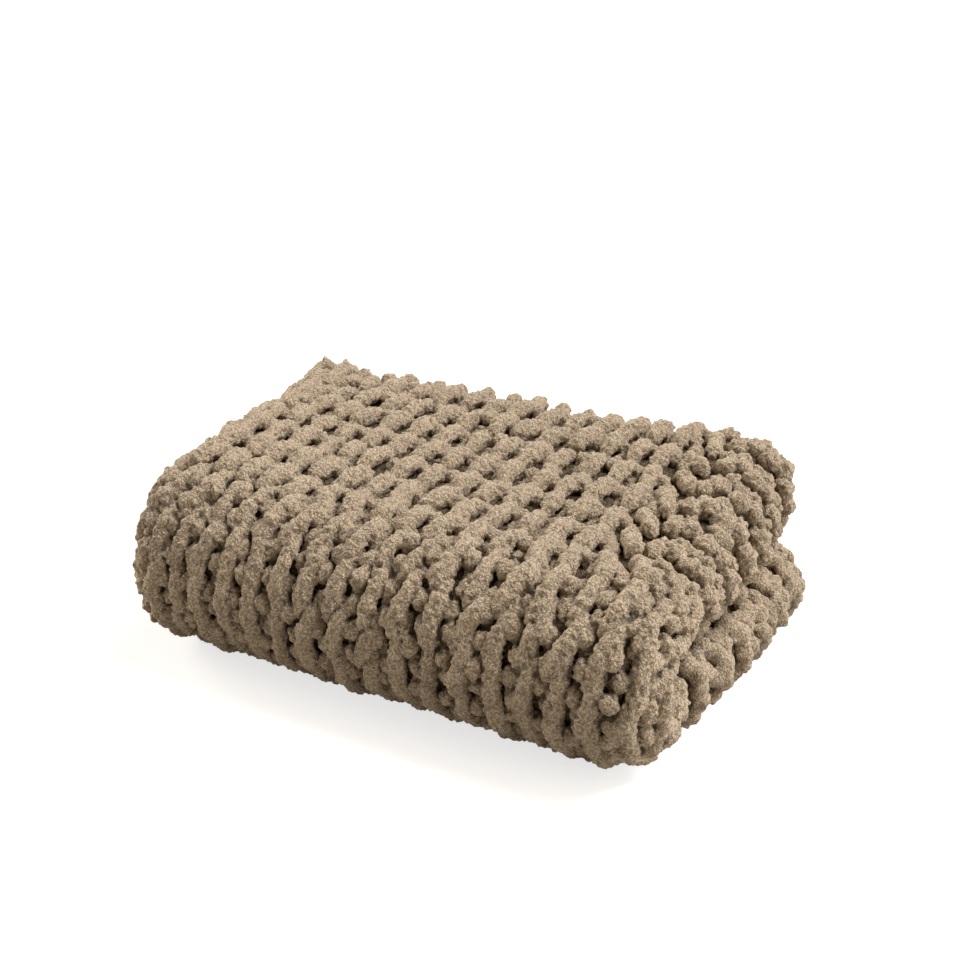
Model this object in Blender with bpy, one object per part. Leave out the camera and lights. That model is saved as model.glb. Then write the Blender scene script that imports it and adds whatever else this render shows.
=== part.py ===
# A thick knitted throw, folded in half three times into a plump stack of eight plies.
# The cloth is one slab. It starts flat, and each of its corners is carried through the
# folds: a turn at the right-hand end, a turn at the back and the wide spine at the front.
# X runs along the stack, Y from the spine to the back, Z up. Metres.
import math

import bmesh
import bpy

LENGTH = 0.585         # folded stack, along the spine
DEPTH = 0.418          # folded stack, spine to back
HEIGHT = 0.195
PACKET_GAP = 0.004     # between the upper and the lower four plies
CLOTH_SHARE = 0.90     # cloth's thickness, in plies; the rest is air between the layers
CURL_RADIUS = 1.20     # of the outer plies' edges at the left-hand end, in plies
CURL_TURN = math.radians(80)
INNER_EDGE_BACK = 0.5  # inner plies' edges stop short of the curl, in plies
UNCURLED_REACH = 0.9   # where they lie flat by the back turn, the edges reach on, in plies
EDGE_LIP = 0.006       # last of the cloth along an edge that doesn't curl

PLY = (HEIGHT - PACKET_GAP) / (7 + CLOTH_SHARE)   # from one ply's middle to the next
HALF_CLOTH = PLY * CLOTH_SHARE / 2
PACKET_RADIUS = 2 * PLY + PACKET_GAP / 2          # packet's middle to the spine's centre
TURN_X = LENGTH / 2 - 1.5 * PLY - HALF_CLOTH      # centre line of the right-hand turns
CURL_X = -LENGTH / 2 + CURL_RADIUS * PLY + HALF_CLOTH
SPINE_Y = -DEPTH / 2 + PACKET_RADIUS + 1.5 * PLY + HALF_CLOTH
BACK_Y = DEPTH / 2 - 0.5 * PLY - HALF_CLOTH       # centre line of the back turn

# The cloth followed the short way, from one free edge to the other.
# layer: 0 outer, 1 inner, 0.5 on its way between them
SHORT_WAY = (
    {"run": "under", "steps": 6, "start": 0.0, "end": 1.0, "layer": 0},
    {"run": "spine", "steps": 10, "start": 0.0, "end": 1.0, "layer": 0},
    {"run": "over", "steps": 6, "start": 0.0, "end": 1.0, "layer": 0},
    {"run": "turn", "steps": 6, "start": 0.0, "end": 1.0, "layer": 0.5},
    {"run": "over", "steps": 6, "start": 1.0, "end": 0.0, "layer": 1},
    {"run": "spine", "steps": 10, "start": 1.0, "end": 0.0, "layer": 1},
    {"run": "under", "steps": 6, "start": 1.0, "end": 0.0, "layer": 1},
)

# The cloth followed the long way, from the fold to an edge; the other half mirrors it.
LONG_WAY = (
    {"run": "turn", "steps": 6},
    {"run": "flat", "steps": 9},
    {"run": "curl", "steps": 3},
)

# Where the soft stack leaves its regular shape: each row leans the cloth by `push`
# around `at`, dying away over `reach`. The underside stays level.
SETTLING = (
    {"name": "upper packet slumps over the lower one", "at": (0.30, 0.06, 0.085),
     "reach": (0.10, 0.10, 0.07), "push": (0.012, 0.0, -0.030)},
    {"name": "left end drawn in at the spine", "at": (-0.29, -0.19, 0.09),
     "reach": (0.09, 0.12, 0.12), "push": (0.014, 0.0, 0.0)},
    {"name": "left end rounded off above", "at": (-0.27, -0.09, 0.19),
     "reach": (0.12, 0.12, 0.10), "push": (0.023, 0.0, 0.014)},
    {"name": "left end sunk at the back", "at": (-0.28, 0.17, 0.18),
     "reach": (0.12, 0.12, 0.10), "push": (-0.010, 0.0, -0.009)},
    {"name": "top raised at the back right", "at": (0.24, 0.17, 0.19),
     "reach": (0.12, 0.12, 0.12), "push": (-0.008, 0.0, 0.012)},
    {"name": "lower packet spills out", "at": (0.29, 0.16, 0.05),
     "reach": (0.12, 0.12, 0.06), "push": (0.010, 0.0, 0.0)},
    {"name": "right spine corner drawn in", "at": (0.28, -0.17, 0.03),
     "reach": (0.10, 0.10, 0.08), "push": (-0.011, 0.0, 0.0)},
    {"name": "spine slackens low down", "at": (-0.05, -0.20, 0.04),
     "reach": (0.20, 0.12, 0.10), "push": (0.0, -0.003, 0.0)},
    {"name": "shallow dip in the top", "at": (0.06, -0.02, 0.20),
     "reach": (0.12, 0.09, 0.10), "push": (0.0, 0.0, -0.005)},
)


def place_short_way(row, share, offset):
    """Depth, outward direction, distance from the packet's middle, its mid-cloth value
    and how flat the free edges lie."""
    lean = math.pi * (share if row["run"] == "turn" else row["layer"])
    middle = PLY + 0.5 * PLY * math.cos(lean)
    distance = middle + offset * math.cos(lean)
    along = row["start"] + (row["end"] - row["start"]) * share
    if row["run"] == "under":
        return BACK_Y + (SPINE_Y - BACK_Y) * along, -math.pi / 2, distance, middle, 0.0
    if row["run"] == "spine":
        return SPINE_Y, math.pi * (along - 0.5), distance, middle, 0.0
    if row["run"] == "over":
        flatness = max(0.0, 2 * along - 1) ** 2
        return SPINE_Y + (BACK_Y - SPINE_Y) * along, math.pi / 2, distance, middle, flatness
    beyond = (0.5 * PLY + offset) * math.sin(lean)
    return BACK_Y + beyond, math.pi / 2, distance, middle, 1.0


def place_long_way(run, share, distance, middle, flatness):
    """Place along the stack and distance out from the packet's middle."""
    innerness = 1.5 - middle / PLY
    held_back = INNER_EDGE_BACK * innerness * (1 - flatness)
    edge_x = CURL_X + PLY * (held_back - UNCURLED_REACH * flatness)
    if run == "turn":
        swing = share * math.pi / 2
        return TURN_X + distance * math.cos(swing), distance * math.sin(swing)
    if run == "flat":
        return TURN_X + (edge_x - TURN_X) * share, distance
    curled = (1 - innerness) * (1 - flatness)
    swing = share * CURL_TURN * curled
    radius = CURL_RADIUS * PLY + distance - middle
    x = edge_x - radius * math.sin(swing) - EDGE_LIP * share * (1 - curled)
    return x, middle - CURL_RADIUS * PLY + radius * math.cos(swing)


def settle(x, y, z):
    """Lean one corner of the regular stack to where the soft one lies."""
    move = [0.0, 0.0, 0.0]
    for row in SETTLING:
        far = sum(((p - a) / r) ** 2 for p, a, r in zip((x, y, z), row["at"], row["reach"]))
        weight = math.exp(-far)
        move = [m + weight * p for m, p in zip(move, row["push"])]
    return x + move[0], y + move[1], z * (1 + move[2] / HEIGHT)


def stations(table):
    """One (row, share) for each line of the grid across a table's runs."""
    lines = [(table[0], 0.0)]
    for row in table:
        lines += [(row, step / row["steps"]) for step in range(1, row["steps"] + 1)]
    return lines


def fold(long_line, long_side, short_line, offset):
    """Carry one corner of the flat slab to its place in the stack."""
    y, tilt, *depths = place_short_way(*short_line, offset)
    x, out = place_long_way(long_line[0]["run"], long_line[1], *depths)
    radius = PACKET_RADIUS + out * long_side
    y -= radius * math.cos(tilt)
    z = HEIGHT / 2 + radius * math.sin(tilt)
    return settle(x, y, z)


def make_blanket():
    """Fold a flat two-sided grid of cloth into the stack."""
    half = stations(LONG_WAY)
    long_lines = [(line, -1) for line in reversed(half)] + [(line, 1) for line in half[1:]]
    short_lines = stations(SHORT_WAY)
    mesh = bmesh.new()
    bmesh.ops.create_grid(mesh, x_segments=len(long_lines) - 1,
                          y_segments=len(short_lines) - 1, size=0.5)
    flat = bmesh.ops.extrude_face_region(mesh, geom=mesh.faces[:])
    raised = {v for v in flat["geom"] if isinstance(v, bmesh.types.BMVert)}
    for corner in mesh.verts:
        line, side = long_lines[round((corner.co.x + 0.5) * (len(long_lines) - 1))]
        row = short_lines[round((corner.co.y + 0.5) * (len(short_lines) - 1))]
        offset = HALF_CLOTH if corner in raised else -HALF_CLOTH
        corner.co = fold(line, side, row, offset)
    middle_x = (max(v.co.x for v in mesh.verts) + min(v.co.x for v in mesh.verts)) / 2
    middle_y = (max(v.co.y for v in mesh.verts) + min(v.co.y for v in mesh.verts)) / 2
    lowest = min(v.co.z for v in mesh.verts)
    bmesh.ops.translate(mesh, verts=mesh.verts, vec=(-middle_x, -middle_y, -lowest))
    bmesh.ops.recalc_face_normals(mesh, faces=mesh.faces)
    data = bpy.data.meshes.new("blanket")
    mesh.to_mesh(data)
    mesh.free()
    return data


for old in list(bpy.data.objects):
    bpy.data.objects.remove(old)

chenille = bpy.data.materials.new("taupe_chenille")
chenille.use_nodes = True
shader = chenille.node_tree.nodes["Principled BSDF"]
shader.inputs["Base Color"].default_value = (0.254, 0.191, 0.133, 1.0)
shader.inputs["Roughness"].default_value = 0.95
shader.inputs["Metallic"].default_value = 0.0

blanket = bpy.data.objects.new("blanket", make_blanket())
blanket.data.materials.append(chenille)
bpy.context.scene.collection.objects.link(blanket)
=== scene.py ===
import math
import random

import bmesh
import bpy
import numpy
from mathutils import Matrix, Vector


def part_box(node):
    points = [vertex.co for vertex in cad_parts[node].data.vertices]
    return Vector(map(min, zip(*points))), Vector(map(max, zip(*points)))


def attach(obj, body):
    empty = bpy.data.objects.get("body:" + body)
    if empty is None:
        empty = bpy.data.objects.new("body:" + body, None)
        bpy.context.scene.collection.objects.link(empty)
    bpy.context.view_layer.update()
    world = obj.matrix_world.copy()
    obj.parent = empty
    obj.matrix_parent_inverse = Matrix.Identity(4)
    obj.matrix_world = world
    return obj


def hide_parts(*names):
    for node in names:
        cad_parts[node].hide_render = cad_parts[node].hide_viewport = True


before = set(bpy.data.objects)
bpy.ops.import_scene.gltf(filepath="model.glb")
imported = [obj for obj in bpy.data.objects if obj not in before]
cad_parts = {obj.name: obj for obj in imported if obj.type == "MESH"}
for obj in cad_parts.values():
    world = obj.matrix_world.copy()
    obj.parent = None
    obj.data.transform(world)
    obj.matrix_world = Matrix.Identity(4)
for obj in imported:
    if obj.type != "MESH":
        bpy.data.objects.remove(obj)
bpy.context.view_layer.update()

cadLow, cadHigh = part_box("blanket")
print("frame loaded")


# camera

cameraView = {
    "azimuth": 28.54,                  # degrees round from the front of the spine
    "elevation": 25.29,
    "distance": 1.598,
    "aim": (-0.020, 0.066, 0.143),     # where the axis passes over the stack
    "lens": 57.66,
}


def addCamera(view):
    turn, rise = math.radians(view["azimuth"]), math.radians(view["elevation"])
    back = Vector((math.sin(turn) * math.cos(rise), -math.cos(turn) * math.cos(rise), math.sin(rise)))
    data = bpy.data.cameras.new("viewCamera")
    data.lens = view["lens"]
    camera = bpy.data.objects.new("viewCamera", data)
    camera.location = Vector(view["aim"]) + back * view["distance"]
    camera.rotation_euler = (-back).to_track_quat("-Z", "Y").to_euler()
    bpy.context.scene.collection.objects.link(camera)
    bpy.context.scene.camera = camera


addCamera(cameraView)
print("camera placed")


# how the throw is folded: the same folds as the solid's, followed by share of the cloth

foldSizes = {
    "length": 0.585,
    "depth": 0.418,
    "height": 0.195,
    "packetGap": 0.004,
    "clothShare": 0.90,
    "curlRadius": 1.20,                # in plies
    "curlTurn": math.radians(80),
    "innerEdgeBack": 0.5,
    "uncurledReach": 0.9,
    "edgeLip": 0.006,                  # last of the cloth past the curl
    "rowPastEdge": 0.04,               # depth of a row that reaches past a free edge
    "leastCurl": 0.02,                 # share of the curl under which an edge lies flat
}
ply = (foldSizes["height"] - foldSizes["packetGap"]) / (7 + foldSizes["clothShare"])
halfCloth = ply * foldSizes["clothShare"] / 2
packetRadius = 2 * ply + foldSizes["packetGap"] / 2
turnX = foldSizes["length"] / 2 - 1.5 * ply - halfCloth
curlX = -foldSizes["length"] / 2 + foldSizes["curlRadius"] * ply + halfCloth
spineY = -foldSizes["depth"] / 2 + packetRadius + 1.5 * ply + halfCloth
backY = foldSizes["depth"] / 2 - 0.5 * ply - halfCloth

# rows of stitches along each run of the short way, from one free edge to the other
shortWay = (
    {"run": "under", "rows": 6.5, "start": 0.0, "end": 1.0, "layer": 0},
    {"run": "spine", "rows": 6.05, "start": 0.0, "end": 1.0, "layer": 0},
    {"run": "over", "rows": 6.5, "start": 0.0, "end": 1.0, "layer": 0},
    {"run": "turn", "rows": 0.9, "start": 0.0, "end": 1.0, "layer": 0.5},
    {"run": "over", "rows": 6.5, "start": 1.0, "end": 0.0, "layer": 1},
    {"run": "spine", "rows": 6.05, "start": 1.0, "end": 0.0, "layer": 1},
    {"run": "under", "rows": 6.5, "start": 1.0, "end": 0.0, "layer": 1},
)
allRows = sum(run["rows"] for run in shortWay)

# where the soft stack leaves its regular shape: slumped end, left end by the spine, above and at
# the back, raised back corner, spilled lower end, right spine corner, slack low spine, dip in the top
settling = (
    {"at": (0.30, 0.06, 0.085), "reach": (0.10, 0.10, 0.07), "push": (0.012, 0.0, -0.030)},
    {"at": (-0.29, -0.19, 0.09), "reach": (0.09, 0.12, 0.12), "push": (0.014, 0.0, 0.0)},
    {"at": (-0.27, -0.09, 0.19), "reach": (0.12, 0.12, 0.10), "push": (0.023, 0.0, 0.014)},
    {"at": (-0.28, 0.17, 0.18), "reach": (0.12, 0.12, 0.10), "push": (-0.010, 0.0, -0.009)},
    {"at": (0.24, 0.17, 0.19), "reach": (0.12, 0.12, 0.12), "push": (-0.008, 0.0, 0.012)},
    {"at": (0.29, 0.16, 0.05), "reach": (0.12, 0.12, 0.06), "push": (0.010, 0.0, 0.0)},
    {"at": (0.28, -0.17, 0.03), "reach": (0.10, 0.10, 0.08), "push": (-0.011, 0.0, 0.0)},
    {"at": (-0.05, -0.20, 0.04), "reach": (0.20, 0.12, 0.10), "push": (0.0, -0.003, 0.0)},
    {"at": (0.06, -0.02, 0.20), "reach": (0.12, 0.09, 0.10), "push": (0.0, 0.0, -0.005)},
)
outOfReach = 9                         # square of the reaches past which a spot has no pull


def runAt(row):
    row = min(max(row, 0.0), allRows)
    for run in shortWay:
        if row <= run["rows"]:
            return run, row / run["rows"]
        row -= run["rows"]
    return shortWay[-1], 1.0


def settle(x, y, z):
    moveX = moveY = moveZ = 0.0
    for spot in settling:
        (atX, atY, atZ), (reachX, reachY, reachZ) = spot["at"], spot["reach"]
        far = ((x - atX) / reachX) ** 2 + ((y - atY) / reachY) ** 2 + ((z - atZ) / reachZ) ** 2
        if far < outOfReach:
            weight = math.exp(-far)
            moveX += weight * spot["push"][0]
            moveY += weight * spot["push"][1]
            moveZ += weight * spot["push"][2]
    return x + moveX, y + moveY, z * (1 + moveZ / foldSizes["height"])


def acrossTheShortWay(row, height):
    # depth, direction out of the stack, distance out of the packet, its middle, and flatness of an edge
    run, part = runAt(row)
    pastEdge = abs(row - min(max(row, 0.0), allRows))
    lean = math.pi * (part if run["run"] == "turn" else run["layer"])
    middle = ply + 0.5 * ply * math.cos(lean)
    distance = middle + height * math.cos(lean)
    along = run["start"] + (run["end"] - run["start"]) * part
    if run["run"] == "under":
        y = backY + (spineY - backY) * along + pastEdge * foldSizes["rowPastEdge"]
        return y, -math.pi / 2, distance, middle, 0.0
    if run["run"] == "spine":
        return spineY, math.pi * (along - 0.5), distance, middle, 0.0
    if run["run"] == "turn":
        return backY + (0.5 * ply + height) * math.sin(lean), math.pi / 2, distance, middle, 1.0
    return spineY + (backY - spineY) * along, math.pi / 2, distance, middle, max(0.0, 2 * along - 1) ** 2


def alongTheLongWay(share, distance, middle, flatness):
    # place along the stack and distance out of the packet's middle
    innerness = 1.5 - middle / ply
    heldBack = foldSizes["innerEdgeBack"] * innerness * (1 - flatness)
    edgeX = curlX + ply * (heldBack - foldSizes["uncurledReach"] * flatness)
    curled = (1 - innerness) * (1 - flatness)
    curlRadius = foldSizes["curlRadius"] * ply
    arc = middle * math.pi / 2
    flat = turnX - edgeX
    curl = curlRadius * foldSizes["curlTurn"] * curled + foldSizes["edgeLip"]
    travel = abs(share) * (arc + flat + curl)
    if travel < arc:
        swing = travel / middle
        return turnX + distance * math.cos(swing), distance * math.sin(swing)
    if travel < arc + flat or curled < foldSizes["leastCurl"]:
        return turnX - (travel - arc), distance
    swing = (travel - arc - flat) / curlRadius
    radius = curlRadius + distance - middle
    return edgeX - radius * math.sin(swing), middle - curlRadius + radius * math.cos(swing)


def foldPoint(share, row, height):
    # share runs from -1 to 1 across the ribs, 0 at the right-hand turn; height is off the cloth's middle
    y, tilt, distance, middle, flatness = acrossTheShortWay(row, height)
    x, out = alongTheLongWay(share, distance, middle, flatness)
    radius = packetRadius + (out if share >= 0 else -out)
    return settle(x, y - radius * math.cos(tilt), foldSizes["height"] / 2 + radius * math.sin(tilt))


def centreOfFold():
    samples = 60                       # to each side of the turn; two to a row
    spots = [foldPoint(across / samples, along / 2, halfCloth)
             for across in range(-samples, samples + 1) for along in range(0, int(allRows * 2))]
    return [(max(spot[axis] for spot in spots) + min(spot[axis] for spot in spots)) / 2 for axis in (0, 1)]


midX, midY = centreOfFold()
midX -= (cadLow[0] + cadHigh[0]) / 2
midY -= (cadLow[1] + cadHigh[1]) / 2


def place(share, row, height):
    x, y, z = foldPoint(share, row, height)
    return x - midX, y - midY, z


print("folds laid out")


# yarn

yarnLook = {
    "tuftShade": (0.208, 0.151, 0.094),     # between the tufts: painted shade over the pile's random speckle
    "tuftLight": (0.505, 0.384, 0.256),   # tips of the pile: painted light over the pile's random speckle
    "tuftSize": 380,                   # tufts to the metre
    "fibreSize": 620,
    "relief": 0.0019,
    "roughness": 0.92,
    "gloss": 0.12,
    "sheen": 0.25,
}
# the ground's colours: the yarn's, darkened as painted shade for the pockets between the stitches
shadedGroundLook = {
    "tuftShade": (0.066, 0.045, 0.026),
    "tuftLight": (0.190, 0.138, 0.086),
    "tuftSize": 330,
    "fibreSize": 620,
    "relief": 0.0030,
    "roughness": 1.0,
    "gloss": 0.0,
    "sheen": 0.04,
}
sheenOfPile = {"roughness": 0.6, "tint": (0.93, 0.85, 0.75)}
pileShape = {
    "stirSize": 520,                   # the unevenness that bends the tufts' edges, and how far
    "stirReach": 0.0030,
    "tuftDepth": -0.75,                # against the fibres' height
    "litFrom": -0.08,                  # heights at which the pile starts to catch painted light, and fully does
    "litTo": 0.40,
    "brightShareInShade": 0.22,                # painted shade: share of the light colour left far down between the strands
    # painted shade: how far the colour's value falls deep between the strands
    "shadeDimmest": 0.3,
    "shadeDimming": 0.7,
    "patchSize": 16,                   # slow change of shade over the throw
    "patchShade": (0.88, 1.12),
}


def buildPileGroup():
    group = bpy.data.node_groups.new("chenillePile", "ShaderNodeTree")
    for name in ("TuftShade", "Bright"):
        group.interface.new_socket(name, in_out="INPUT", socket_type="NodeSocketColor")
    for name in ("Tufts", "Fibres", "Relief"):
        group.interface.new_socket(name, in_out="INPUT", socket_type="NodeSocketFloat")
    group.interface.new_socket("Color", in_out="OUTPUT", socket_type="NodeSocketColor")
    group.interface.new_socket("Normal", in_out="OUTPUT", socket_type="NodeSocketVector")
    nodes, link = group.nodes, group.links.new
    given, result = nodes.new("NodeGroupInput"), nodes.new("NodeGroupOutput")
    where = nodes.new("ShaderNodeTexCoord")
    stir = nodes.new("ShaderNodeTexNoise")
    stir.inputs["Scale"].default_value = pileShape["stirSize"]
    stray = nodes.new("ShaderNodeVectorMath")
    stray.operation = "MULTIPLY_ADD"
    stray.inputs[1].default_value = [pileShape["stirReach"]] * 3
    link(where.outputs["Object"], stir.inputs["Vector"])
    link(stir.outputs["Color"], stray.inputs[0])
    link(where.outputs["Object"], stray.inputs[2])
    tufts = nodes.new("ShaderNodeTexVoronoi")                   # distance from each tuft's tip
    fibres = nodes.new("ShaderNodeTexNoise")
    fibres.inputs["Detail"].default_value = 2
    patches = nodes.new("ShaderNodeTexNoise")
    patches.inputs["Scale"].default_value = pileShape["patchSize"]
    patches.inputs["Detail"].default_value = 1
    link(stray.outputs[0], tufts.inputs["Vector"])
    for texture in (fibres, patches):
        link(where.outputs["Object"], texture.inputs["Vector"])
    link(given.outputs["Tufts"], tufts.inputs["Scale"])
    link(given.outputs["Fibres"], fibres.inputs["Scale"])
    pile = nodes.new("ShaderNodeMath")
    pile.operation = "MULTIPLY_ADD"
    pile.inputs[1].default_value = pileShape["tuftDepth"]
    link(tufts.outputs["Distance"], pile.inputs[0])
    link(fibres.outputs["Fac"], pile.inputs[2])
    spread = nodes.new("ShaderNodeMapRange")                    # share of the pile with painted light on it, the rest in painted shade
    spread.inputs["From Min"].default_value = pileShape["litFrom"]
    spread.inputs["From Max"].default_value = pileShape["litTo"]
    link(pile.outputs[0], spread.inputs["Value"])
    creviceShade = nodes.new("ShaderNodeAttribute")                   # 1 deep between the strands, where the most shade is painted
    creviceShade.attribute_name = "creviceShade"
    # painted shade: less of the light colour deep between the strands
    unshadedShare = nodes.new("ShaderNodeMapRange")
    unshadedShare.inputs["To Min"].default_value = 1.0
    unshadedShare.inputs["To Max"].default_value = pileShape["brightShareInShade"]
    link(creviceShade.outputs["Fac"], unshadedShare.inputs["Value"])
    lit = nodes.new("ShaderNodeMath")
    lit.operation = "MULTIPLY"
    link(spread.outputs["Result"], lit.inputs[0])
    link(unshadedShare.outputs["Result"], lit.inputs[1])
    # painted shade between the tufts and painted light on their tips, in a random speckle
    shade = nodes.new("ShaderNodeMix")
    shade.data_type = "RGBA"
    link(lit.outputs[0], shade.inputs["Factor"])
    link(given.outputs["TuftShade"], shade.inputs["A"])
    link(given.outputs["Bright"], shade.inputs["B"])
    drift = nodes.new("ShaderNodeMapRange")
    drift.inputs["To Min"].default_value = pileShape["patchShade"][0]
    drift.inputs["To Max"].default_value = pileShape["patchShade"][1]
    link(patches.outputs["Fac"], drift.inputs["Value"])
    tone = nodes.new("ShaderNodeHueSaturation")
    # painted shade: the colour's value falls towards the hollows between the strands
    shadeDim = nodes.new("ShaderNodeMath")
    shadeDim.operation = "MULTIPLY_ADD"
    shadeDim.inputs[1].default_value = pileShape["shadeDimming"]
    shadeDim.inputs[2].default_value = pileShape["shadeDimmest"]
    link(unshadedShare.outputs["Result"], shadeDim.inputs[0])
    value = nodes.new("ShaderNodeMath")
    value.operation = "MULTIPLY"
    link(drift.outputs["Result"], value.inputs[0])
    link(shadeDim.outputs[0], value.inputs[1])
    link(value.outputs[0], tone.inputs["Value"])
    link(shade.outputs["Result"], tone.inputs["Color"])
    bump = nodes.new("ShaderNodeBump")
    bump.inputs["Strength"].default_value = 1.0
    link(given.outputs["Relief"], bump.inputs["Distance"])
    link(pile.outputs[0], bump.inputs["Height"])
    link(tone.outputs["Color"], result.inputs["Color"])
    link(bump.outputs["Normal"], result.inputs["Normal"])
    return group


pileGroup = buildPileGroup()


def makeYarnMaterial(name, look):
    material = bpy.data.materials.new(name)
    material.use_nodes = True
    nodes, link = material.node_tree.nodes, material.node_tree.links.new
    shader = nodes["Principled BSDF"]
    shader.inputs["Roughness"].default_value = look["roughness"]
    shader.inputs["Specular IOR Level"].default_value = look["gloss"]
    shader.inputs["Sheen Weight"].default_value = look["sheen"]
    shader.inputs["Sheen Roughness"].default_value = sheenOfPile["roughness"]
    shader.inputs["Sheen Tint"].default_value = (*sheenOfPile["tint"], 1)
    pile = nodes.new("ShaderNodeGroup")
    pile.node_tree = pileGroup
    pile.inputs["TuftShade"].default_value = (*look["tuftShade"], 1)
    pile.inputs["Bright"].default_value = (*look["tuftLight"], 1)
    pile.inputs["Tufts"].default_value = look["tuftSize"]
    pile.inputs["Fibres"].default_value = look["fibreSize"]
    pile.inputs["Relief"].default_value = look["relief"]
    link(pile.outputs["Color"], shader.inputs["Base Color"])
    link(pile.outputs["Normal"], shader.inputs["Normal"])
    return material


yarnMaterial = makeYarnMaterial("taupeChenille", yarnLook)
shadedGroundMaterial = makeYarnMaterial("taupeGroundInShade", shadedGroundLook)
print("yarn materials made")


# the ground of the knit: a thin sheet through every fold, behind the stitches, coloured as yarn in painted
# shade

groundSheet = {"low": -0.0090, "high": -0.0048, "across": 110, "along": 130}


def makeGround(sheet):
    mesh = bmesh.new()
    bmesh.ops.create_grid(mesh, x_segments=sheet["across"], y_segments=sheet["along"], size=0.5)
    upper = bmesh.ops.extrude_face_region(mesh, geom=mesh.faces[:])
    raised = {v for v in upper["geom"] if isinstance(v, bmesh.types.BMVert)}
    for corner in mesh.verts:
        height = sheet["high"] if corner in raised else sheet["low"]
        corner.co = place(corner.co.x * 2, (corner.co.y + 0.5) * allRows, height)
    bmesh.ops.recalc_face_normals(mesh, faces=mesh.faces)
    data = bpy.data.meshes.new("knitGround")
    mesh.to_mesh(data)
    mesh.free()
    data.shade_smooth()
    data.materials.append(shadedGroundMaterial)
    ground = bpy.data.objects.new("knitGround", data)
    bpy.context.scene.collection.objects.link(ground)
    return ground


knitGround = makeGround(groundSheet)
print("ground of the knit folded")


# stitches

stitchSizes = {
    "ribs": 37,                        # across the whole throw
    "legGirth": 0.0089,                # radius of the plump yarn
    "loopGirth": 0.0073,
    "endLegGirth": 0.0100,
    "endLoopGirth": 0.0088,
    "backGirth": 0.0066,
    "chainGirth": 0.0082,
    "chainInset": 0.30,                # of a row, from the edge
    "lengthOnTop": 0.82,               # of a strand, and what it gains where the knit is stretched
    "lengthGained": 0.18,
    "lowerLoopShare": 0.60,            # of the loop's girth, where the knit isn't stretched
    "lowerLoopSink": 0.0012,
}
# the knit is stretched round the spine, where its loops stand out
stretchedKnit = {
    "lift": 0.0034,
    "legThinning": 0.07,
    "legLift": 0.0010,
    "backSwell": 0.12,
    "upperSwell": 0.10,
    "upperLift": 0.8,                  # of the lift
    "lowerSwell": 0.50,
    "lowerLift": 1.9,
}
# how the legs lean: on top, low on the spine and by how much less higher up, between two rows
leans = {"onTop": -0.25, "lowSpine": 0.25, "change": 1.05, "rows": (8.0, 10.5)}
# where one kind of stitch gives way to the next, in shares across or in rows from a run's end
changes = {
    "overEnd": (0.11, 0.20),
    "pastSpine": (-0.8, 1.0),
    "beforeSpine": (-1.0, 0.8),
    "stretchStarts": (-0.6, 0.6),
    "stretchEnds": (-1.2, 0.4),
    "endLoopFrom": 0.15,               # of the turn over the right-hand end
    "topLoopsTo": 0.85,
}
# strands lie flatter over the back turn and at the corner of the free edge
edgeSink = {
    "depth": 0.0036,
    "backTurn": (0.5, 1.4),            # rows to either side
    "backTurnAt": 0.45,                # rows before the outer plies end
    "cornerShares": (0.80, 1.0),
    "cornerRows": (4.0, 1.0),          # before the outer plies end
}
# the strip along the free edges where both faces carry stitches
edgeBand = {"share": 0.88, "firstRows": 1, "lastRows": 1.5, "grain": 0.0028}
# spread of each stitch's unevenness: turn in degrees, lift in metres, the rest in shares
uneven = {
    "amount": 1.15,
    "turn": 6,
    "stretch": 0.04,
    "across": 0.04,
    "along": 0.05,
    "lift": 0.0010,
    "size": 0.06,
    "seed": 11,
}
# one stitch, in shares of the spacing across and along, then height and girth: the leg starts blunt
# on top of the one before it and ends under the next
legPath = (
    (-0.17, -0.68, -0.0030, 0.30),
    (-0.16, -0.60, 0.0002, 0.78),
    (-0.12, -0.36, 0.0024, 1.02),
    (-0.02, -0.04, 0.0032, 1.06),
    (0.08, 0.28, 0.0016, 1.00),
    (0.15, 0.56, -0.0034, 0.82),
    (0.18, 0.76, -0.0085, 0.50),
)
spineLegPath = (                       # round the spine the legs run on into one long strand
    (-0.22, -0.72, -0.0040, 0.50),
    (-0.20, -0.60, -0.0004, 0.84),
    (-0.13, -0.36, 0.0022, 0.98),
    (0.00, -0.02, 0.0032, 1.02),
    (0.13, 0.32, 0.0024, 0.98),
    (0.21, 0.62, -0.0004, 0.84),
    (0.23, 0.84, -0.0050, 0.60),
)
endLegPath = (                         # over the right-hand end each row is a string of beads
    (-0.06, -0.58, -0.0050, 0.42),
    (-0.08, -0.46, 0.0000, 0.92),
    (-0.06, -0.28, 0.0024, 1.14),
    (-0.02, -0.04, -0.0020, 0.58),
    (0.05, 0.18, 0.0022, 1.14),
    (0.08, 0.40, 0.0004, 0.96),
    (0.06, 0.58, -0.0055, 0.42),
)
upperLoop = (
    (0.51, 0.38, -0.0055, 0.55),
    (0.53, 0.31, -0.0020, 0.94),
    (0.55, 0.20, -0.0008, 1.06),
    (0.55, 0.10, -0.0020, 0.94),
    (0.54, 0.03, -0.0050, 0.55),
)
lowerLoop = (
    (0.46, -0.12, -0.0080, 0.55),
    (0.44, -0.20, -0.0058, 0.90),
    (0.43, -0.28, -0.0048, 1.00),
    (0.44, -0.38, -0.0058, 0.90),
    (0.46, -0.46, -0.0080, 0.55),
)
backLoop = (                           # closes the cloth behind the pockets
    (0.44, -0.62, -0.0110, 0.90),
    (0.50, -0.20, -0.0104, 1.00),
    (0.52, 0.20, -0.0104, 1.00),
    (0.50, 0.60, -0.0110, 0.90),
)
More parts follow.
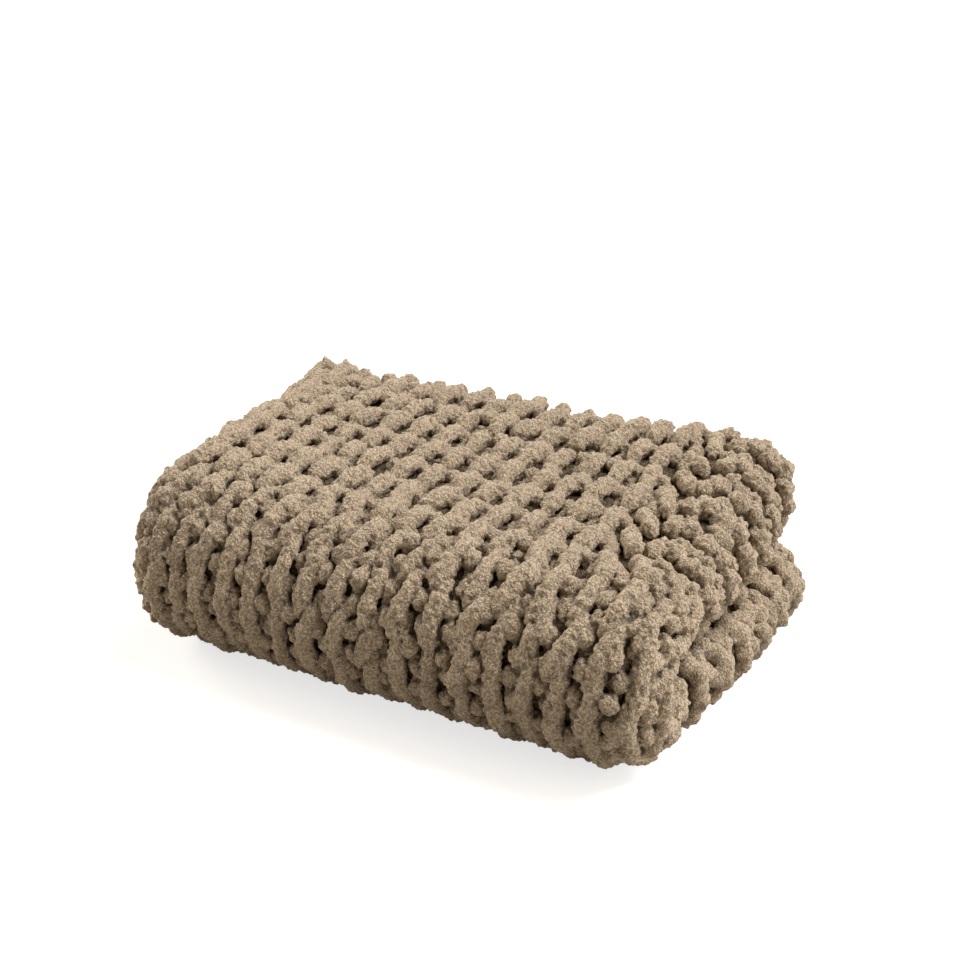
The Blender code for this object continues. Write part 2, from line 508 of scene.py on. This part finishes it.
endLoop = (                            # a string of smaller beads between those rows
    (0.42, -0.56, -0.0060, 0.50),
    (0.43, -0.30, -0.0018, 1.16),
    (0.51, 0.00, -0.0056, 0.62),
    (0.57, 0.28, -0.0018, 1.16),
    (0.56, 0.54, -0.0060, 0.50),
)
edgeChain = (                          # runs along the two edges where the knit was begun and closed
    (-0.60, 0.00, 0.0000, 0.50),
    (-0.42, 0.03, 0.0012, 0.92),
    (-0.12, 0.00, 0.0000, 1.10),
    (0.18, -0.03, -0.0012, 1.06),
    (0.46, 0.00, 0.0000, 0.88),
    (0.60, 0.02, 0.0010, 0.50),
)
halfRibs = stitchSizes["ribs"] / 2
chance = random.Random(uneven["seed"])


def outerRibLength():
    curl = foldSizes["curlRadius"] * ply * foldSizes["curlTurn"] + foldSizes["edgeLip"]
    return 1.5 * ply * math.pi / 2 + turnX - curlX + curl


ribSpacing = outerRibLength() / halfRibs
rowSpacing = math.pi * (packetRadius + 1.5 * ply) / shortWay[1]["rows"]
spineStart = shortWay[0]["rows"]
spineEnd = spineStart + shortWay[1]["rows"]
outerRows = sum(run["rows"] for run in shortWay[:4])


def smoothStep(low, high, value):
    part = min(max((value - low) / (high - low), 0.0), 1.0)
    return part * part * (3 - 2 * part)


def change(name, start, value):
    low, high = changes[name]
    return smoothStep(start + low, start + high, value)


def turnOfStitch(share, row):
    # round the right-hand end the long strands run over the fold, except at the spine
    nearEnd = 1 - change("overEnd", 0, abs(share))
    offSpine = max(change("pastSpine", spineEnd, row), 1 - change("beforeSpine", spineStart, row))
    return math.pi / 2 * nearEnd * offSpine


def openness(row):
    return change("stretchStarts", spineStart, row) * (1 - change("stretchEnds", spineEnd, row))


def blend(first, second, part):
    return [[a + (b - a) * part for a, b in zip(one, other)] for one, other in zip(first, second)]


def legAt(row, overEnd):
    # upright low on the spine, leaning further over towards the top
    stretched = openness(row)
    spineLean = leans["lowSpine"] - leans["change"] * smoothStep(*leans["rows"], row)
    lean = leans["onTop"] * (1 - stretched) + stretched * spineLean
    leg = blend(legPath, spineLegPath, stretched)
    leg = [[across * lean, *rest] for across, *rest in leg]
    return blend(leg, endLegPath, overEnd)


def sinkAtEdge(share, row):
    fromTurn = abs(row - outerRows + edgeSink["backTurnAt"])
    backTurn = 1 - smoothStep(*edgeSink["backTurn"], fromTurn)
    first, last = edgeSink["cornerRows"]
    corner = smoothStep(*edgeSink["cornerShares"], share)
    corner *= smoothStep(outerRows - first, outerRows - last, row)
    return edgeSink["depth"] * min(1.0, backTurn + corner)


def newWobble():
    amount = uneven["amount"]
    return {
        "turn": math.radians(chance.gauss(0, uneven["turn"])) * amount,
        "stretch": 1 + chance.gauss(0, uneven["stretch"]) * amount,
        "across": chance.gauss(0, uneven["across"]) * amount,
        "along": chance.gauss(0, uneven["along"]) * amount,
        "lift": chance.gauss(0, uneven["lift"]) * amount,
        "size": 1 + chance.gauss(0, uneven["size"]) * amount,
    }


def layStrand(curve, path, rib, row, side, girth, lift=0.0):
    wobble = newWobble()
    turn = turnOfStitch(rib / halfRibs, row) + wobble["turn"]
    lift += wobble["lift"] - sinkAtEdge(rib / halfRibs, row)
    cosine, sine = math.cos(turn), math.sin(turn)
    acrossSpacing = ribSpacing * cosine * cosine + rowSpacing * sine * sine
    alongSpacing = rowSpacing * cosine * cosine + ribSpacing * sine * sine
    length = stitchSizes["lengthOnTop"] + stitchSizes["lengthGained"] * openness(row)
    spline = curve.splines.new("NURBS")
    spline.points.add(len(path) - 1)
    for point, (across, along, height, size) in zip(spline.points, path):
        sideways = across * acrossSpacing
        onwards = along * alongSpacing * wobble["stretch"] * length
        toRib = (sideways * cosine + onwards * sine) / ribSpacing + wobble["across"]
        toRow = (onwards * cosine - sideways * sine) / rowSpacing + wobble["along"]
        x, y, z = place((rib + toRib) / halfRibs, row + toRow, (height + lift) * side)
        point.co = (x, y, z, 1)
        point.radius = size * girth * wobble["size"]
    spline.order_u = 3
    spline.use_endpoint_u = True
    spline.resolution_u = 2


def newStrands(name):
    curve = bpy.data.curves.new(name, "CURVE")
    curve.dimensions = "3D"
    curve.bevel_depth = 1.0
    curve.bevel_resolution = 2
    curve.use_fill_caps = True
    return curve


feltLook = {
    "softening": 0.5,
    "lumps": ((0.0105, 0.0040), (0.0048, 0.0058)),    # size and height of the pile's unevenness
    "lumpLevel": 0.46,                 # of the lumps' height, which leaves the surface where it is
    "facesKept": 0.45,
    "hollowReach": 0.0070,             # over which the surface is smoothed to find its hollows
    "darkestShadeDepth": 0.0024,             # at which the painted shade in a groove between strands is darkest
}


def makeLumps(size):
    texture = bpy.data.textures.new("pileLumps", "CLOUDS")
    texture.noise_scale = size
    texture.noise_depth = 1
    return texture


lumpTextures = [(makeLumps(size), height) for size, height in feltLook["lumps"]]


def markCreviceShade(mesh, grain):
    # how far each corner lies below the smoothed surface, for the painted shade between the strands
    places = numpy.empty(len(mesh.vertices) * 3)
    normals = numpy.empty(len(mesh.vertices) * 3)
    ends = numpy.empty(len(mesh.edges) * 2, dtype=numpy.int64)
    mesh.vertices.foreach_get("co", places)
    mesh.vertices.foreach_get("normal", normals)
    mesh.edges.foreach_get("vertices", ends)
    places, normals = places.reshape(-1, 3), normals.reshape(-1, 3)
    first, second = ends[0::2], ends[1::2]
    count = len(places)
    neighbours = numpy.maximum(numpy.bincount(ends, minlength=count), 1)
    smoothed = places.copy()
    for _ in range(int((feltLook["hollowReach"] / grain) ** 2)):
        for axis in range(3):
            column = smoothed[:, axis]
            total = numpy.bincount(first, column[second], count)
            total = total + numpy.bincount(second, column[first], count)
            smoothed[:, axis] = total / neighbours
    below = ((smoothed - places) * normals).sum(axis=1)
    shadeAmounts = numpy.clip(below / feltLook["darkestShadeDepth"], 0, 1).astype(numpy.float32)
    attribute = mesh.attributes.new("creviceShade", "FLOAT", "POINT")
    attribute.data.foreach_set("value", shadeAmounts)


def feltTogether(curve, grain):
    # the strands of a region become one closed surface with uneven pile, nowhere below the floor
    holder = bpy.data.objects.new(curve.name, curve)
    mesh = bpy.data.meshes.new_from_object(holder)
    bpy.data.objects.remove(holder)
    piece = bpy.data.objects.new(curve.name, mesh)
    bpy.context.scene.collection.objects.link(piece)
    felt = piece.modifiers.new("felt", "REMESH")
    felt.mode = "VOXEL"
    felt.voxel_size = grain
    soften = piece.modifiers.new("soften", "SMOOTH")
    soften.factor = feltLook["softening"]
    soften.iterations = 1
    for texture, height in lumpTextures:
        lumps = piece.modifiers.new("lumps", "DISPLACE")
        lumps.texture = texture
        lumps.texture_coords = "LOCAL"
        lumps.strength = height
        lumps.mid_level = feltLook["lumpLevel"]
    thin = piece.modifiers.new("thin", "DECIMATE")
    thin.ratio = feltLook["facesKept"]
    shown = piece.evaluated_get(bpy.context.evaluated_depsgraph_get())
    piece.data = bpy.data.meshes.new_from_object(shown)
    piece.modifiers.clear()
    piece.data.name = curve.name
    for corner in piece.data.vertices:
        corner.co.z = max(corner.co.z, 0)
    # the hollows between the strands, where shade is painted into the yarn's colour
    markCreviceShade(piece.data, grain)
    piece.data.shade_smooth()
    piece.data.materials.clear()
    piece.data.materials.append(yarnMaterial)
    print("stitches felted:", piece.name, sum(len(face.vertices) - 2 for face in piece.data.polygons))
    return piece


# the throw's faces that show, by rows and by share across; grain is the fineness of the surface
regions = (
    {"name": "spineStitches", "rows": (6, 12), "shares": (0.30, 1.0), "grain": 0.0016},
    {"name": "topStitches", "rows": (12, 20), "shares": (0.52, 1.0), "grain": 0.0016},
    {"name": "midStitches", "rows": (12, 20), "shares": (0.0, 0.52), "grain": 0.0016},
    {"name": "endStitches", "rows": (6, 12), "shares": (-0.26, 0.30), "grain": 0.0016},
    {"name": "creaseStitches", "rows": (12, 20), "shares": (-0.26, 0.0), "grain": 0.0022},
    {"name": "lowerStitches", "rows": (0, 6), "shares": (-0.26, 1.0), "grain": 0.0034},
    {"name": "backStitches", "rows": (17, 20), "shares": (-1.0, -0.26), "grain": 0.0030},
)


def regionOf(share, row):
    for region in regions:
        firstRow, lastRow = region["rows"]
        firstShare, lastShare = region["shares"]
        if firstRow <= row < lastRow and firstShare <= share < lastShare:
            return region["name"]
    return "edgeStitches"


def layStitch(curve, rib, row, side):
    sizes, swell = stitchSizes, stretchedKnit
    overEnd = turnOfStitch(rib / halfRibs, row) / (math.pi / 2)
    stretched = openness(row)
    lift = swell["lift"] * stretched
    girth = sizes["legGirth"] * (1 - swell["legThinning"] * stretched)
    girth = girth + (sizes["endLegGirth"] - girth) * overEnd
    layStrand(curve, legAt(row, overEnd), rib, row, side, girth, swell["legLift"] * stretched)
    girth = sizes["backGirth"] * (1 + swell["backSwell"] * stretched)
    layStrand(curve, backLoop, rib, row, side, girth, lift)
    if overEnd > changes["endLoopFrom"]:
        layStrand(curve, endLoop, rib, row, side, sizes["endLoopGirth"])
    if overEnd > changes["topLoopsTo"]:
        return
    girth = sizes["loopGirth"] * (1 + swell["upperSwell"] * stretched)
    layStrand(curve, upperLoop, rib, row, side, girth, lift * swell["upperLift"])
    girth = sizes["loopGirth"] * (sizes["lowerLoopShare"] + swell["lowerSwell"] * stretched)
    sink = sizes["lowerLoopSink"] * (1 - stretched)
    layStrand(curve, lowerLoop, rib, row, side, girth, lift * swell["lowerLift"] - sink)


def nearEdge(share, row):
    inEndRows = row < edgeBand["firstRows"] or row > allRows - edgeBand["lastRows"]
    return abs(share) > edgeBand["share"] or inEndRows


def layStitches():
    curves = {region["name"]: newStrands(region["name"]) for region in regions}
    edges = newStrands("edgeStitches")
    curves["edgeStitches"] = edges
    ribs = [number - halfRibs + 0.5 for number in range(stitchSizes["ribs"])]
    for rowNumber in range(int(allRows)):
        row = rowNumber + 0.5
        for rib in ribs:
            share = rib / halfRibs
            region = regionOf(share, row)
            atEdge = nearEdge(share, row)
            if region != "edgeStitches" or atEdge:
                layStitch(curves[region], rib, row, 1)
            if atEdge:
                layStrand(edges, legPath, rib + 0.5, row, -1, stitchSizes["legGirth"])
    for row in (stitchSizes["chainInset"], allRows - stitchSizes["chainInset"]):
        for rib in ribs:
            if turnOfStitch(rib / halfRibs, row) == 0:
                layStrand(edges, edgeChain, rib, row, 1, stitchSizes["chainGirth"])
    return curves


strands = layStitches()
yarnPieces = [feltTogether(strands[region["name"]], region["grain"]) for region in regions]
yarnPieces.append(feltTogether(strands["edgeStitches"], edgeBand["grain"]))


# floor and light

floorLook = {
    "tone": (0.44, 0.405, 0.355),
    "roughness": 0.9,
    "glow": 0.72,                      # keeps the shadows pale, and lights nothing else
    "halfWidth": 15,
    "gap": 0.0004,                     # below the throw
}
studio = {
    "ambient": 0.10,
    "ambientTint": (1.0, 0.90, 0.80),
    "suns": (                          # spread in degrees, for soft shadows
        {"name": "softKey", "from": (0.44, 0.31, 0.85), "strength": 4.05, "spread": 34,
         "tint": (0.98, 1.0, 1.04)},
        {"name": "rightFill", "from": (0.94, 0.08, 0.32), "strength": 2.8, "spread": 70,
         "tint": (1, 1, 1)},
        {"name": "leftFill", "from": (-0.92, 0.0, 0.30), "strength": 4.6, "spread": 50,
         "tint": (1, 0.97, 0.90)},
    ),
}


def addFloor(look):
    mesh = bmesh.new()
    bmesh.ops.create_grid(mesh, x_segments=1, y_segments=1, size=look["halfWidth"])
    data = bpy.data.meshes.new("studioFloor")
    mesh.to_mesh(data)
    mesh.free()
    floor = bpy.data.objects.new("studioFloor", data)
    floor.location.z = cadLow[2] - look["gap"]
    material = bpy.data.materials.new("paleFloor")
    material.use_nodes = True
    shader = material.node_tree.nodes["Principled BSDF"]
    shader.inputs["Base Color"].default_value = (*look["tone"], 1)
    shader.inputs["Roughness"].default_value = look["roughness"]
    shader.inputs["Emission Color"].default_value = (1, 1, 1, 1)
    nodes, links = material.node_tree.nodes, material.node_tree.links
    rays = nodes.new("ShaderNodeLightPath")
    strength = nodes.new("ShaderNodeMath")
    strength.operation = "MULTIPLY"
    strength.inputs[1].default_value = look["glow"]
    links.new(rays.outputs["Is Camera Ray"], strength.inputs[0])
    links.new(strength.outputs[0], shader.inputs["Emission Strength"])
    data.materials.append(material)
    bpy.context.scene.collection.objects.link(floor)


def addSun(look):
    data = bpy.data.lights.new(look["name"], "SUN")
    data.energy = look["strength"]
    data.color = look["tint"]
    data.angle = math.radians(look["spread"])
    light = bpy.data.objects.new(look["name"], data)
    light.rotation_euler = Vector(look["from"]).to_track_quat("Z", "Y").to_euler()
    bpy.context.scene.collection.objects.link(light)


addFloor(floorLook)
for sun in studio["suns"]:
    addSun(sun)
world = bpy.data.worlds.new("studioWorld")
world.use_nodes = True
nodes, links = world.node_tree.nodes, world.node_tree.links
surround = nodes["Background"]
surround.inputs["Color"].default_value = (*studio["ambientTint"], 1)
surround.inputs["Strength"].default_value = studio["ambient"]
paper = nodes.new("ShaderNodeBackground")      # white behind the throw, and only there
paper.inputs["Color"].default_value = (1, 1, 1, 1)
rays = nodes.new("ShaderNodeLightPath")
chosen = nodes.new("ShaderNodeMixShader")
links.new(rays.outputs["Is Camera Ray"], chosen.inputs[0])
links.new(surround.outputs[0], chosen.inputs[1])
links.new(paper.outputs[0], chosen.inputs[2])
links.new(chosen.outputs[0], nodes["World Output"].inputs["Surface"])
bpy.context.scene.world = world
bpy.context.scene.view_settings.view_transform = "Standard"
print("studio set")


# hand over to the frame

for piece in (knitGround, *yarnPieces):
    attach(piece, "root")
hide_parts("blanket")
